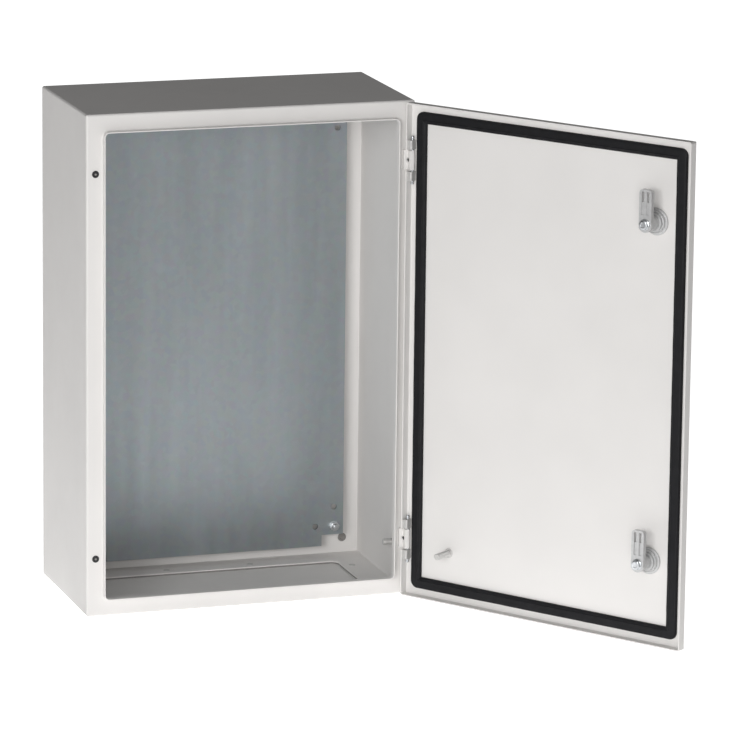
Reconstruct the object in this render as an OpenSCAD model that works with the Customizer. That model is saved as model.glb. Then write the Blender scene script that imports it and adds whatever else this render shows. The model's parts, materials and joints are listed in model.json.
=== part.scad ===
// Steel wall enclosure: a folded body with a raised lip round its mouth, a full-overlay
// hinged door with a foam gasket, two quarter-turn locks, a mounting plate and a gland plate.
// Origin: centre of the four wall-fixing holes, on the rear face. Millimetres.
// +X points to the hinge side, -Y to the front and +Z up.

/* [Body] */
// Overall width of the body
body_w = 400; // [340:10:600]
// Overall height of the body
body_h = 600; // [500:10:800]
// Depth of the body from the rear face to the flange face
body_d = 200; // [160:10:300]
// Thickness of the body sheet
sheet = 1.5; // [1:0.25:2]
// Outer radius of the folded edges
bend_r = 2.5; // [2.25:0.25:4]
// Width of the flat flange round the mouth
flange_w = 20; // [19:0.5:24]
// Height of the lip in front of the flange
lip_h = 7.5; // [6:0.25:8]
// Outer radius of the bend at the root of the lip
lip_root_r = 1.5; // [0.5:0.25:2]
// Inner corner radius of the mouth
mouth_r = 5; // [3:0.5:10]

/* [Door] */
// Gap between the door's outline and the body's outline
door_inset = 1; // [0.5:0.25:1.5]
// Gap between the closed door's edge and the flange
door_gap = 2; // [1.5:0.25:3]
// Depth of the door from its face to the edge of its returns
door_depth = 12; // [11:0.5:14]
// Thickness of the door sheet
door_sheet = 1.5; // [1:0.25:2]
// Opening angle at rest, from closed
door_open = 125.6; // [0:0.1:128]
// Width of the foam gasket
gasket_w = 14; // [9:0.5:14.5]
// Distance from the inner edge of the gasket to the inner face of the lip
gasket_in = 3.5; // [3:0.5:7]
// Gap between the closed gasket and the edge of the lip
gasket_clear = 0.2; // [0.1:0.1:0.5]
// Inner corner radius of the gasket
gasket_r = 1; // [0.5:0.5:4]

/* [Hinges] */
// Distance of each hinge from the top and the bottom of the body
hinge_margin = 70; // [50:5:110]
// Diameter of the hinge pin
pin_d = 4; // [3:0.25:4.5]
// Radial running clearance of the pin in the fixed knuckle
pin_clear = 0.05; // [0.02:0.01:0.1]
// Radius of the fixed knuckle
knuckle_r = 3; // [2.8:0.1:3.4]
// Gap between the knuckle and the inner face of the door
knuckle_clear = 0.3; // [0.2:0.1:0.5]
// Gap between the knuckle and the inner face of the door's return
side_clear = 0.2; // [0.1:0.1:0.5]
// Height of the fixed hinge block
block_h = 23.5; // [18:0.5:30]
// Width of the neck of the fixed hinge block
neck_w = 3.2; // [2.5:0.1:4]
// Distance from the pin axis back to the neck, which the open door swings into
neck_clear = 1; // [1:0.1:1.5]
// Thickness of the foot of the fixed hinge block
foot_t = 4; // [3:0.25:4.5]
// Metal of the foot beyond its screw thread
foot_rim = 1; // [0.8:0.1:2]
// Height of each door ear
ear_h = 11; // [8:0.5:14]
// Gap between an ear and the fixed block
ear_gap = 1.5; // [0.5:0.25:2.5]
// Reach of an ear from the inner face of the door
ear_reach = 9.3; // [7:0.1:10]
// Length of pin standing out of each ear
pin_tip = 5; // [2:0.5:7]
// Distance of the hinge screw from the side of the body
hinge_screw_inset = 11; // [10:0.5:13]
// Diameter of the hinge screw
hinge_screw_d = 5; // [4:0.5:6]
// Diameter of the screws that hold the ears
ear_screw_d = 3; // [2.5:0.5:3]

/* [Locks] */
// Distance of the lock axes from the free side of the body
lock_inset = 52; // [46:1:60]
// Distance of each lock from the top and the bottom of the body
lock_margin = 100; // [90:5:150]
// Diameter of the lock housing where it passes through the door
barrel_d = 22; // [18:1:24]
// Diameter of the lock nut
lock_nut_d = 32; // [28:1:34]
// Height of the lock nut
lock_nut_h = 5.5; // [4:0.5:7]
// Height of the housing above the inner face of the door
barrel_h = 8.5; // [8:0.5:11]
// Diameter of the lock spindle
spindle_d = 12; // [9:1:13]
// Length of the cam from its axis to its tip
cam_len = 40.5; // [34:0.5:41]
// Width of the cam
cam_w = 16.8; // [14:0.4:18]
// Thickness of the cam
cam_t = 5.4; // [4:0.2:7]
// Gap between the rear face of the flange and the cam when locked
cam_clear = 5.5; // [1:0.5:6]

/* [Mounting plate] */
// Width of the mounting plate
plate_w = 350; // [300:5:360]
// Height of the mounting plate
plate_h = 570; // [450:5:572]
// Thickness of the mounting plate
plate_t = 2; // [1.5:0.25:3]
// Gap between the rear panel and the mounting plate
plate_standoff = 14.5; // [10:0.5:40]
// Width of the notches in the corners of the mounting plate
notch_w = 27.5; // [20:0.5:32]
// Height of the notches in the corners of the mounting plate
notch_h = 14; // [10:0.5:16]
// Distance of the studs from the side edges of the plate
stud_in_x = 12; // [10:0.5:16]
// Distance of the studs from the top and bottom edges of the plate
stud_in_z = 25; // [22:0.5:32]
// Distance of each spare hole from its stud hole
spare_pitch = 24; // [18:1:40]
// Diameter of the holes in the mounting plate
plate_hole_d = 7; // [6.5:0.5:9]
// Diameter of the mounting-plate studs
stud_d = 6; // [5:0.5:6]

/* [Wall fixing] */
// Distance of the wall-fixing holes from the sides of the body
fix_in_x = 21; // [18:1:25]
// Distance of the wall-fixing holes from the top and the bottom of the body
fix_in_z = 20; // [18:1:30]
// Diameter of the wall-fixing holes
fix_hole_d = 8.5; // [7:0.5:10]

/* [Gland plate] */
// Distance of the gland opening from the sides of the body
gland_in_x = 40; // [35:1:60]
// Distance of the gland opening from the front and the rear of the body
gland_in_y = 40; // [35:1:50]
// Corner radius of the gland opening
gland_r = 10; // [5:1:20]
// Overlap of the gland plate round the opening
gland_lap = 18; // [16:0.5:22]
// Thickness of the gland plate
gland_t = 1.5; // [1:0.25:3]
// Thickness of the gland gasket
gland_gasket_t = 2; // [1.5:0.5:4]
// Width of the gland gasket
gland_gasket_w = 6; // [4:0.5:7]
// Distance of the gland screws from the opening
gland_screw_in = 12; // [11.5:0.25:12.5]
// Spacing of the gland screws along the width
gland_pitch_x = 106; // [80:2:140]
// Spacing of the gland screws along the depth
gland_pitch_y = 70; // [40:2:90]
// Diameter of the gland screws
gland_screw_d = 4; // [3:0.5:5]

/* [Earthing] */
// Diameter of the earth studs
earth_d = 8; // [6:1:8]
// Length of the earth stud on the body
body_earth_len = 14; // [10:1:25]
// Distance of the body's earth stud behind the flange face
body_earth_y = 55; // [30:1:80]
// Distance of the body's earth stud above the bottom of the body
body_earth_z = 50; // [40:1:100]
// Length of the earth stud on the door
door_earth_len = 25; // [12:1:28]
// Distance of the door's earth stud from the hinge side of the body
door_earth_x = 64; // [50:1:100]
// Distance of the door's earth stud above the bottom of the body
door_earth_z = 61; // [45:1:120]

/* [Hidden] */
$fn = 64;

// Colours
paint = [0.84, 0.84, 0.82];
zinc = [0.72, 0.75, 0.78];
plated = [0.58, 0.60, 0.62];
foam = [0.10, 0.10, 0.10];
plastic = [0.16, 0.16, 0.17];

// Clearances shared by several fits
eps = 1;                 // overshoot of a cut past the face it opens
thread_clear = 0.1;      // radial gap between a thread and its nut
hole_clear = 0.25;       // radial gap of a stud or screw in a plain hole
seat_clear = 0.2;        // axial gap between turning and fixed faces of a lock

// Body planes
half_w = body_w / 2;
half_h = body_h / 2;
flange_y = -body_d;
inner_w = body_w - 2 * sheet;
inner_h = body_h - 2 * sheet;
lip_in = flange_w + sheet;
mouth_w = body_w - 2 * lip_in;
mouth_h = body_h - 2 * lip_in;

// Door planes, closed
door_w = body_w - 2 * door_inset;
door_h = body_h - 2 * door_inset;
door_edge_y = flange_y - door_gap;
door_face_y = door_edge_y - door_depth;
door_skin_y = door_face_y + door_sheet;
gasket_h = flange_y - lip_h - gasket_clear - door_skin_y;

// Hinge: the pin lies so that the knuckle just clears the door's skin and return
pin_y = door_skin_y + knuckle_clear + knuckle_r;
pin_x = half_w - door_inset - door_sheet - side_clear - knuckle_r;
pin_forward = flange_y - pin_y;
hinge_z = half_h - hinge_margin;
screw_reach = hinge_screw_inset - (half_w - pin_x);
foot_reach = screw_reach + hinge_screw_d / 2 + foot_rim;
ear_z = block_h / 2 + ear_gap + ear_h / 2;
pin_len = block_h + 2 * (ear_gap + ear_h + pin_tip);
ear_screw_y = pin_d / 2 + 1 + ear_screw_d / 2;
hinge_hole_d = hinge_screw_d + 2 * hole_clear;

// Locks
lock_x = lock_inset - half_w;
lock_z = half_h - lock_margin;
cam_y = flange_y + sheet + cam_clear;
seal_t = 0.8;
lock_flange_t = 4;
lock_face_y = door_face_y - seal_t - lock_flange_t;
well_d = spindle_d + 6;
well_depth = 7;
well_y = lock_face_y + well_depth;
collar_t = 1.6;
barrel_end_y = door_skin_y + barrel_h;
square_w = spindle_d * 0.62;
cam_screw_d = 6;
cam_tail = cam_w / 2 + 1;

// Mounting plate
plate_y = -sheet - plate_standoff - plate_t;
stud_x = plate_w / 2 - stud_in_x;
stud_z = plate_h / 2 - stud_in_z;
washer_t = 1.6;
nut_h = 5;

// Gland plate
gland_w = body_w - 2 * gland_in_x;
gland_d = body_d - 2 * gland_in_y;
gland_top_z = -half_h - gland_gasket_t;
gland_nut_d = gland_screw_d + 4;

// ---------------------------------------------------------------- helpers

// Rectangle with round corners, centred
module rounded_rect(w, h, r) {
    square([w - 2 * r, h], center = true);
    square([w, h - 2 * r], center = true);
    for (x = [-1, 1], y = [-1, 1])
        translate([x * (w / 2 - r), y * (h / 2 - r)]) circle(r);
}

// Extrudes an outline drawn in X and Z from y0 back to y1
module along_y(y0, y1) {
    translate([0, y1, 0]) rotate([90, 0, 0]) linear_extrude(y1 - y0) children();
}

// Turns what is built upwards to point to the front
module to_front() {
    rotate([90, 0, 0]) children();
}

// Block with the round edges that folding leaves: along the depth and round the front face
module folded_block(w, h, y0, y1, r) {
    depth = y1 - y0;
    intersection() {
        along_y(y0, y1) rounded_rect(w, h, r);
        translate([0, y0, -h / 2]) linear_extrude(h) front_rounded(w, depth, r);
        translate([-w / 2, y0, 0]) rotate([90, 0, 90]) linear_extrude(w)
            rotate(-90) mirror([1, 0]) front_rounded(h, depth, r);
    }
}

// Outline of a folded sheet pan: round at its front corners, square at the rear
module front_rounded(w, depth, r) {
    translate([-w / 2, r]) square([w, depth - r]);
    translate([-w / 2 + r, 0]) square([w - 2 * r, depth]);
    for (x = [-1, 1]) translate([x * (w / 2 - r), r]) circle(r);
}

// Sweeps a profile round a rectangle with round corners, flat on the XY plane.
// The profile's x runs outwards from the rectangle and its y runs up.
module frame_sweep(w, h, r) {
    for (side = [0:3]) {
        reach = (side % 2 == 0 ? w : h) / 2;
        run = (side % 2 == 0 ? h : w) / 2 - r;
        rotate(90 * side) {
            translate([reach, run, 0]) rotate([90, 0, 0]) linear_extrude(2 * run) children();
            translate([reach - r, run, 0]) rotate_extrude(angle = 90) translate([r, 0]) children();
        }
    }
}

// Repeats its child at the four corners of a rectangle in X and Z
module at_corners(x, z) {
    for (sx = [-1, 1], sz = [-1, 1]) translate([sx * x, 0, sz * z]) children();
}

// Places what is drawn on the closed door at its opening angle
module swung() {
    translate([pin_x, pin_y, 0]) rotate(door_open) translate([-pin_x, -pin_y, 0]) children();
}

// Hexagonal prism with both rims chamfered
module hex_body(flats, h) {
    corner = flats / sqrt(3);
    rim = flats / 2 * 0.96;
    drop = (corner - rim) * 0.58;
    intersection() {
        cylinder(r = corner, h = h, $fn = 6);
        rotate_extrude() polygon([[0, 0], [rim, 0], [corner, drop],
            [corner, h - drop], [rim, h], [0, h]]);
    }
}

// Hexagonal nut standing on the XY plane
module hex_nut(flats, h, thread_d) {
    difference() {
        hex_body(flats, h);
        translate([0, 0, -eps]) cylinder(d = thread_d + 2 * thread_clear, h = h + 2 * eps);
    }
}

// Flat washer standing on the XY plane
module washer(outer_d, inner_d, t) {
    difference() {
        cylinder(d = outer_d, h = t);
        translate([0, 0, -eps]) cylinder(d = inner_d, h = t + 2 * eps);
    }
}

// Stud with a chamfered tip, standing on the XY plane
module stud(d, len) {
    chamfer = d * 0.12;
    rotate_extrude() polygon([[0, 0], [d / 2, 0], [d / 2, len - chamfer],
        [d / 2 - chamfer, len], [0, len]]);
}

// ---------------------------------------------------------------- body

// Section of the raised lip: the wall round the mouth and the bend at its root.
// x runs outwards from the mouth and y runs forwards from the rear of the flange.
module lip_section() {
    square([sheet, sheet + lip_h - sheet / 2]);
    translate([sheet / 2, sheet + lip_h - sheet / 2]) circle(d = sheet);
    difference() {
        translate([sheet, sheet]) square(lip_root_r);
        translate([sheet + lip_root_r, sheet + lip_root_r]) circle(lip_root_r);
    }
}

module body_shell() {
    color(paint) difference() {
        union() {
            difference() {
                folded_block(body_w, body_h, flange_y, 0, bend_r);
                folded_block(inner_w, inner_h, flange_y + sheet, eps, bend_r - sheet);
                along_y(flange_y - eps, flange_y + sheet + eps)
                    rounded_rect(mouth_w + sheet, mouth_h + sheet, mouth_r + sheet / 2);
            }
            translate([0, flange_y + sheet, 0]) to_front()
                frame_sweep(mouth_w, mouth_h, mouth_r) lip_section();
        }
        translate([0, flange_y - eps, 0]) at_corners(half_w - hinge_screw_inset, hinge_z)
            rotate([-90, 0, 0]) cylinder(d = hinge_hole_d, h = sheet + 2 * eps);
        translate([0, -body_d / 2, -half_h - eps]) {
            linear_extrude(sheet + 2 * eps) rounded_rect(gland_w, gland_d, gland_r);
            at_gland_screws() cylinder(d = gland_nut_d - 2 + 2 * thread_clear, h = sheet + 2 * eps);
        }
    }
}

module rear_panel() {
    color(paint) along_y(-sheet, 0) difference() {
        rounded_rect(inner_w, inner_h, bend_r - sheet);
        for (x = [-1, 1], z = [-1, 1])
            translate([x * (half_w - fix_in_x), z * (half_h - fix_in_z)]) circle(d = fix_hole_d);
    }
}

// Plastic plug in each hinge hole that the door doesn't use
module hinge_hole_plugs() {
    head_d = hinge_hole_d + 3;
    head_t = 1.2;
    stem = hinge_hole_d / 2 - 0.1;
    color(plastic) for (z = [-1, 1])
        translate([hinge_screw_inset - half_w, flange_y, z * hinge_z]) to_front() rotate_extrude()
            difference() {
                union() {
                    square([head_d / 2 - 0.5, head_t]);
                    square([head_d / 2, head_t - 0.5]);
                    translate([head_d / 2 - 0.5, head_t - 0.5]) circle(0.5);
                    translate([0, -sheet]) square([stem, sheet]);
                    translate([0, -sheet - 3]) polygon([[0, 0], [stem * 0.7, 0],
                        [stem + 0.5, 2.5], [stem + 0.5, 3], [0, 3]]);
                }
                translate([0, -sheet - 3 - eps]) square([stem * 0.45, sheet + 2.4 + eps]);
                translate([0, head_t - 0.4]) square([stem * 0.55, eps]);
            }
}

// ---------------------------------------------------------------- mounting plate

module mounting_plate() {
    color(zinc) along_y(plate_y, plate_y + plate_t) difference() {
        square([plate_w, plate_h], center = true);
        for (x = [-1, 1], z = [-1, 1]) {
            translate([x * plate_w / 2, z * plate_h / 2])
                square([2 * notch_w, 2 * notch_h], center = true);
            translate([x * stud_x, z * stud_z]) circle(d = plate_hole_d);
            translate([x * stud_x, z * (stud_z - spare_pitch)]) circle(d = plate_hole_d);
            translate([x * (stud_x - spare_pitch), z * stud_z]) circle(d = plate_hole_d);
        }
    }
}

// Stud with a round shoulder that the mounting plate rests on, welded to the rear panel
module plate_studs() {
    shoulder_r = stud_d;
    end = plate_standoff + plate_t + washer_t + nut_h + 3;
    tip = stud_d * 0.12;
    color(zinc) translate([0, -sheet, 0]) at_corners(stud_x, stud_z) to_front()
        rotate_extrude() polygon([[0, 0], [shoulder_r, 0], [shoulder_r, plate_standoff],
            [stud_d / 2, plate_standoff], [stud_d / 2, end - tip], [stud_d / 2 - tip, end], [0, end]]);
}

module plate_washers() {
    color(zinc) translate([0, plate_y, 0]) at_corners(stud_x, stud_z) to_front()
        washer(stud_d * 2, stud_d + 2 * hole_clear, washer_t);
}

module plate_nuts() {
    color(zinc) translate([0, plate_y - washer_t, 0]) at_corners(stud_x, stud_z) to_front()
        hex_nut(stud_d / 0.6, nut_h, stud_d);
}

// ---------------------------------------------------------------- gland plate

// Repeats its child at the gland screws, two along each side of the opening
module at_gland_screws() {
    for (a = [-1, 1], b = [-1, 1]) {
        translate([a * gland_pitch_x / 2, b * (gland_d / 2 + gland_screw_in), 0]) children();
        translate([a * (gland_w / 2 + gland_screw_in), b * gland_pitch_y / 2, 0]) children();
    }
}

module gland_plate() {
    color(paint) translate([0, -body_d / 2, gland_top_z - gland_t]) linear_extrude(gland_t)
        difference() {
            rounded_rect(gland_w + 2 * gland_lap, gland_d + 2 * gland_lap, gland_r / 2);
            at_gland_screws() circle(d = gland_screw_d + 2 * hole_clear);
        }
}

module gland_gasket() {
    color(foam) translate([0, -body_d / 2, gland_top_z])
        frame_sweep(gland_w + 1, gland_d + 1, gland_r + 0.5) square([gland_gasket_w, gland_gasket_t]);
}

// Closed nuts pressed into the floor of the body: a low round head inside and a shank below
module gland_nuts() {
    head_t = 0.8;
    edge = 0.4;
    shank_r = gland_nut_d / 2 - 1;
    shank = sheet + gland_gasket_t - 0.5;
    color(zinc) translate([0, -body_d / 2, -half_h + sheet]) at_gland_screws()
        rotate_extrude() difference() {
            union() {
                square([gland_nut_d / 2 - edge, head_t]);
                square([gland_nut_d / 2, head_t - edge]);
                translate([gland_nut_d / 2 - edge, head_t - edge]) circle(edge);
                translate([0, -shank]) square([shank_r, shank]);
            }
            translate([0, -shank - eps]) square([gland_screw_d / 2, shank + eps]);
        }
}

// Hexagon screws from below, through the gland plate into the pressed nuts
module gland_screws() {
    head_h = gland_screw_d * 0.6;
    thread = gland_t + gland_gasket_t + sheet - 0.5;
    color(zinc) translate([0, -body_d / 2, gland_top_z - gland_t]) at_gland_screws() {
        translate([0, 0, -head_h]) hex_body(gland_screw_d * 1.75, head_h);
        cylinder(d = gland_screw_d - 2 * thread_clear, h = thread);
    }
}

// ---------------------------------------------------------------- earthing

// Earth stud with a welded base disc, standing on the XY plane
module earth_stud(len) {
    chamfer = earth_d * 0.12;
    base_t = 1;
    rotate_extrude() polygon([[0, 0], [earth_d * 0.72, 0], [earth_d * 0.72, base_t],
        [earth_d / 2, base_t], [earth_d / 2, len - chamfer], [earth_d / 2 - chamfer, len], [0, len]]);
}

module body_earth_stud() {
    color(zinc) translate([half_w - sheet, flange_y + body_earth_y, body_earth_z - half_h])
        rotate([0, -90, 0]) earth_stud(body_earth_len);
}

module door_earth_stud() {
    color(zinc) swung() translate([half_w - door_earth_x, door_skin_y, door_earth_z - half_h])
        rotate([-90, 0, 0]) earth_stud(door_earth_len);
}

// ---------------------------------------------------------------- hinges

// Outline of the fixed hinge block round the pin axis: knuckle, neck and foot.
// The neck stays behind the pin, clear of the door at its widest opening.
module hinge_block_section() {
    left = neck_clear + neck_w;
    difference() {
        union() {
            circle(knuckle_r);
            translate([-left, -knuckle_r]) square([left, knuckle_r]);
            translate([-left, -eps]) square([neck_w, pin_forward + eps]);
            translate([-foot_reach, pin_forward - foot_t]) square([foot_reach - neck_clear, foot_t]);
        }
        circle(pin_d / 2 + pin_clear);
    }
}

// Fixed hinge block with its cross hole and the thread for the screw behind the flange
module hinge_block(z) {
    left = neck_clear + neck_w;
    hole_d = 5.2;
    hole_depth = left - pin_d / 2 - 0.25;
    color(paint) translate([pin_x, pin_y, z]) difference() {
        translate([0, 0, -block_h / 2]) linear_extrude(block_h) hinge_block_section();
        translate([-left - eps, hole_d / 2 + 0.6, 0]) rotate([0, 90, 0])
            cylinder(d = hole_d, h = hole_depth + eps);
        translate([-screw_reach, pin_forward + eps, 0]) to_front()
            cylinder(d = hinge_screw_d, h = foot_t - 0.5 + eps);
    }
}

module hinge_block_upper() {
    hinge_block(hinge_z);
}

module hinge_block_lower() {
    hinge_block(-hinge_z);
}

module hinge_washers() {
    color(zinc) for (z = [-1, 1])
        translate([half_w - hinge_screw_inset, flange_y + sheet + washer_t, z * hinge_z]) to_front()
            washer(hinge_screw_d * 2, hinge_hole_d, washer_t);
}

// Screw from inside the body, through the flange into the foot of each hinge block
module hinge_screws() {
    head_h = hinge_screw_d * 0.7;
    grip = washer_t + sheet + foot_t - 1;
    color(zinc) for (z = [-1, 1])
        translate([half_w - hinge_screw_inset, flange_y + sheet + washer_t, z * hinge_z]) {
            rotate([-90, 0, 0]) hex_body(hinge_screw_d / 0.6, head_h);
            to_front() cylinder(d = hinge_screw_d - 2 * thread_clear, h = grip);
        }
}

// Outline of a door ear round the pin axis: it fits into the bend between skin and return
module ear_section() {
    right = knuckle_r + side_clear;
    down = knuckle_r + knuckle_clear;
    round_r = 2;
    bend = bend_r - door_sheet;
    difference() {
        union() {
            translate([-knuckle_r, -down])
                square([knuckle_r + right - bend, ear_reach - round_r]);
            translate([round_r - knuckle_r, bend - down])
                square([knuckle_r + right - round_r, ear_reach - bend]);
            translate([right - bend, bend - down]) circle(bend);
            translate([round_r - knuckle_r, ear_reach - down - round_r]) circle(round_r);
        }
        circle(d = pin_d);
    }
}

// The two ears of one hinge, fixed inside the corner of the door
module hinge_ears(z) {
    right = knuckle_r + side_clear;
    color(zinc) swung() translate([pin_x, pin_y, z]) for (s = [-1, 1]) difference() {
        translate([0, 0, s * ear_z - ear_h / 2]) linear_extrude(ear_h) ear_section();
        translate([right + eps, ear_screw_y, s * ear_z]) rotate([0, -90, 0])
            cylinder(d = ear_screw_d, h = 4 + eps);
    }
}

module hinge_ears_upper() {
    hinge_ears(hinge_z);
}

module hinge_ears_lower() {
    hinge_ears(-hinge_z);
}

// Places its child at the four ear screws, with Z pointing out of the door's return
module at_ear_screws() {
    for (hinge = [-1, 1], s = [-1, 1])
        translate([half_w - door_inset, pin_y + ear_screw_y, hinge * hinge_z + s * ear_z])
            rotate([0, 90, 0]) children();
}

// Countersunk head sunk by one sheet, and the shank below it
module countersunk(d, head_d, len) {
    rotate_extrude() polygon([[0, 0], [head_d / 2, 0], [d / 2, -(head_d - d) / 2],
        [d / 2, -len], [0, -len]]);
}

module ear_screws() {
    color(zinc) swung() at_ear_screws()
        countersunk(ear_screw_d - 2 * thread_clear, ear_screw_d * 1.8, door_sheet + 3.5);
}

module hinge_pin(z) {
    chamfer = 0.6;
    r = pin_d / 2;
    color(plated) swung() translate([pin_x, pin_y, z - pin_len / 2]) rotate_extrude()
        polygon([[0, 0], [r - chamfer, 0], [r, chamfer], [r, pin_len - chamfer],
            [r - chamfer, pin_len], [0, pin_len]]);
}

module hinge_pin_upper() {
    hinge_pin(hinge_z);
}

module hinge_pin_lower() {
    hinge_pin(-hinge_z);
}

// ---------------------------------------------------------------- door

module door_panel() {
    notch = block_h + ear_gap;
    color(paint) swung() difference() {
        folded_block(door_w, door_h, door_face_y, door_edge_y, bend_r);
        folded_block(door_w - 2 * door_sheet, door_h - 2 * door_sheet, door_skin_y,
            door_edge_y + eps, bend_r - door_sheet);
        for (z = [-1, 1]) {
            translate([pin_x, door_skin_y, z * hinge_z - notch / 2])
                cube([half_w - pin_x, door_depth, notch]);
            translate([lock_x, door_face_y - eps, z * lock_z]) rotate([-90, 0, 0])
                cylinder(d = barrel_d + 2 * hole_clear, h = door_sheet + 2 * eps);
        }
        at_ear_screws() countersunk(ear_screw_d + 2 * thread_clear, ear_screw_d * 1.8 + 0.2,
            door_sheet + 1);
    }
}

// Section of the foam bead: a flat base, steep sides and round shoulders
module gasket_section() {
    shoulder = gasket_h * 0.45;
    square([gasket_w, gasket_h - shoulder]);
    translate([shoulder, 0]) square([gasket_w - 2 * shoulder, gasket_h]);
    for (x = [shoulder, gasket_w - shoulder]) translate([x, gasket_h - shoulder]) circle(shoulder);
}

module door_gasket() {
    inset = 2 * (lip_in + gasket_in);
    color(foam) swung() translate([0, door_skin_y, 0]) rotate([-90, 0, 0])
        frame_sweep(body_w - inset, body_h - inset, gasket_r) gasket_section();
}

// ---------------------------------------------------------------- locks

// Places its child at a lock, with Z pointing from the door's face into the enclosure
module at_lock(z, y) {
    swung() translate([lock_x, y, z]) rotate([-90, 0, 0]) children();
}

// Lock housing: an outer flange with a round edge, a well for the key and a threaded barrel
module lock_housing(z) {
    flange_r = lock_nut_d / 2 - 1;
    edge = 1.5;
    end = barrel_end_y - lock_face_y;
    color(plated) at_lock(z, lock_face_y) rotate_extrude() difference() {
        union() {
            translate([0, edge]) square([flange_r, lock_flange_t - edge]);
            square([flange_r - edge, lock_flange_t]);
            translate([flange_r - edge, edge]) circle(edge);
            square([barrel_d / 2, end]);
        }
        translate([0, -eps]) square([well_d / 2, well_depth + eps]);
        translate([0, -eps]) square([spindle_d / 2 + pin_clear, end + 2 * eps]);
    }
}

module lock_housing_upper() {
    lock_housing(lock_z);
}

module lock_housing_lower() {
    lock_housing(-lock_z);
}

module lock_seals() {
    color(foam) for (z = [-1, 1]) at_lock(z * lock_z, door_face_y - seal_t)
        washer(lock_nut_d - 4, barrel_d + 2 * thread_clear, seal_t);
}

// Round lock nut, stepped, with six grip notches in its upper ring
module lock_nuts() {
    base_h = lock_nut_h * 0.45;
    ring_r = lock_nut_d / 2 - 2.5;
    color(plated) for (z = [-1, 1]) at_lock(z * lock_z, door_skin_y) difference() {
        union() {
            cylinder(d = lock_nut_d, h = base_h);
            cylinder(r = ring_r, h = lock_nut_h);
        }
        translate([0, 0, -eps]) cylinder(d = barrel_d + 2 * thread_clear, h = lock_nut_h + 2 * eps);
        for (i = [0:5]) rotate(60 * i + 30) translate([ring_r, 0, base_h + 1])
            cylinder(d = 2.4, h = lock_nut_h);
    }
}

// Spindle: a double-bit key stub in the well, a collar, the shaft and the square for the cam
module spindle(z) {
    shaft = cam_y - well_y - seat_clear;
    bit_h = well_depth - collar_t - 1.5;
    color(plated) at_lock(z, well_y - seat_clear) difference() {
        union() {
            translate([0, 0, -collar_t]) cylinder(d = well_d - 1, h = collar_t);
            translate([0, 0, -collar_t - bit_h]) cylinder(d = 5, h = bit_h);
            translate([-well_d / 2 + 3, -1.4, -collar_t - bit_h]) cube([well_d - 6, 2.8, bit_h]);
            cylinder(d = spindle_d, h = shaft + seat_clear);
            translate([-square_w / 2, -square_w / 2, shaft]) cube([square_w, square_w, cam_t]);
        }
        translate([0, 0, shaft - 6]) cylinder(d = cam_screw_d, h = cam_t + 8);
    }
}

module spindle_upper() {
    spindle(lock_z);
}

module spindle_lower() {
    spindle(-lock_z);
}

// Outline of the cam with its axis at the origin and its tip upwards
module cam_outline() {
    tip_r = 4;
    circle(cam_tail);
    translate([-cam_w / 2, 0]) square([cam_w, cam_len - tip_r]);
    translate([-cam_w / 2 + tip_r, 0]) square([cam_w - 2 * tip_r, cam_len]);
    for (x = [-1, 1]) translate([x * (cam_w / 2 - tip_r), cam_len - tip_r]) circle(tip_r);
}

// Cast cam: hub, arm with two grooves that open into slots at the tip, and a square hole
module cam(z) {
    groove_w = 3;
    groove_x = cam_w * 0.195;
    groove_depth = 1.4;
    groove_start = cam_tail + 1.5;
    groove_len = cam_len - 2.4 - groove_start;
    slot_len = 12.5;
    slot_start = cam_len - 2.4 - slot_len;
    hub_h = cam_y - barrel_end_y - seat_clear;
    hub_d = spindle_d + 5;
    fit_w = square_w + 2 * thread_clear;
    color(plated) at_lock(z, cam_y) rotate(180) difference() {
        union() {
            linear_extrude(cam_t) cam_outline();
            translate([0, 0, -hub_h]) cylinder(d = hub_d, h = hub_h);
        }
        for (x = [-1, 1]) translate([x * groove_x - groove_w / 2, 0, 0]) {
            translate([0, groove_start, cam_t - groove_depth]) cube([groove_w, groove_len, cam_t]);
            translate([0, slot_start, -eps]) cube([groove_w, slot_len, cam_t + 2 * eps]);
        }
        translate([0, 0, -hub_h - eps]) cylinder(d = spindle_d + 2 * thread_clear, h = hub_h + eps);
        translate([-fit_w / 2, -fit_w / 2, -eps]) cube([fit_w, fit_w, cam_t + 2 * eps]);
    }
}

module cam_upper() {
    cam(lock_z);
}

module cam_lower() {
    cam(-lock_z);
}

// Hexagon screw with a pressed washer face, which holds the cam on the spindle
module cam_screw(z) {
    face_t = 1.2;
    color(zinc) at_lock(z, cam_y + cam_t) {
        cylinder(d = cam_screw_d * 2.2, h = face_t);
        translate([0, 0, face_t]) hex_body(cam_screw_d / 0.6, cam_screw_d * 0.6);
        translate([0, 0, -cam_t - 4]) cylinder(d = cam_screw_d - 2 * thread_clear, h = cam_t + 4);
    }
}

module cam_screw_upper() {
    cam_screw(lock_z);
}

module cam_screw_lower() {
    cam_screw(-lock_z);
}

// ---------------------------------------------------------------- assembly

body_shell();
rear_panel();
mounting_plate();
plate_studs();
plate_washers();
plate_nuts();
gland_plate();
gland_gasket();
gland_screws();
gland_nuts();
hinge_hole_plugs();
body_earth_stud();
hinge_block_upper();
hinge_block_lower();
hinge_screws();
hinge_washers();
door_panel();
door_gasket();
hinge_ears_upper();
hinge_ears_lower();
ear_screws();
hinge_pin_upper();
hinge_pin_lower();
door_earth_stud();
lock_housing_upper();
lock_housing_lower();
lock_seals();
lock_nuts();
spindle_upper();
cam_upper();
cam_screw_upper();
spindle_lower();
cam_lower();
cam_screw_lower();
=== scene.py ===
"""Dresses the steel wall enclosure: painted sheet, galvanised plate, foam gasket and hardware."""

import functools
import json
import math

import bmesh
import bpy
from bpy.props import FloatProperty, FloatVectorProperty, IntProperty, PointerProperty
from mathutils import Matrix, Vector, noise


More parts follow.
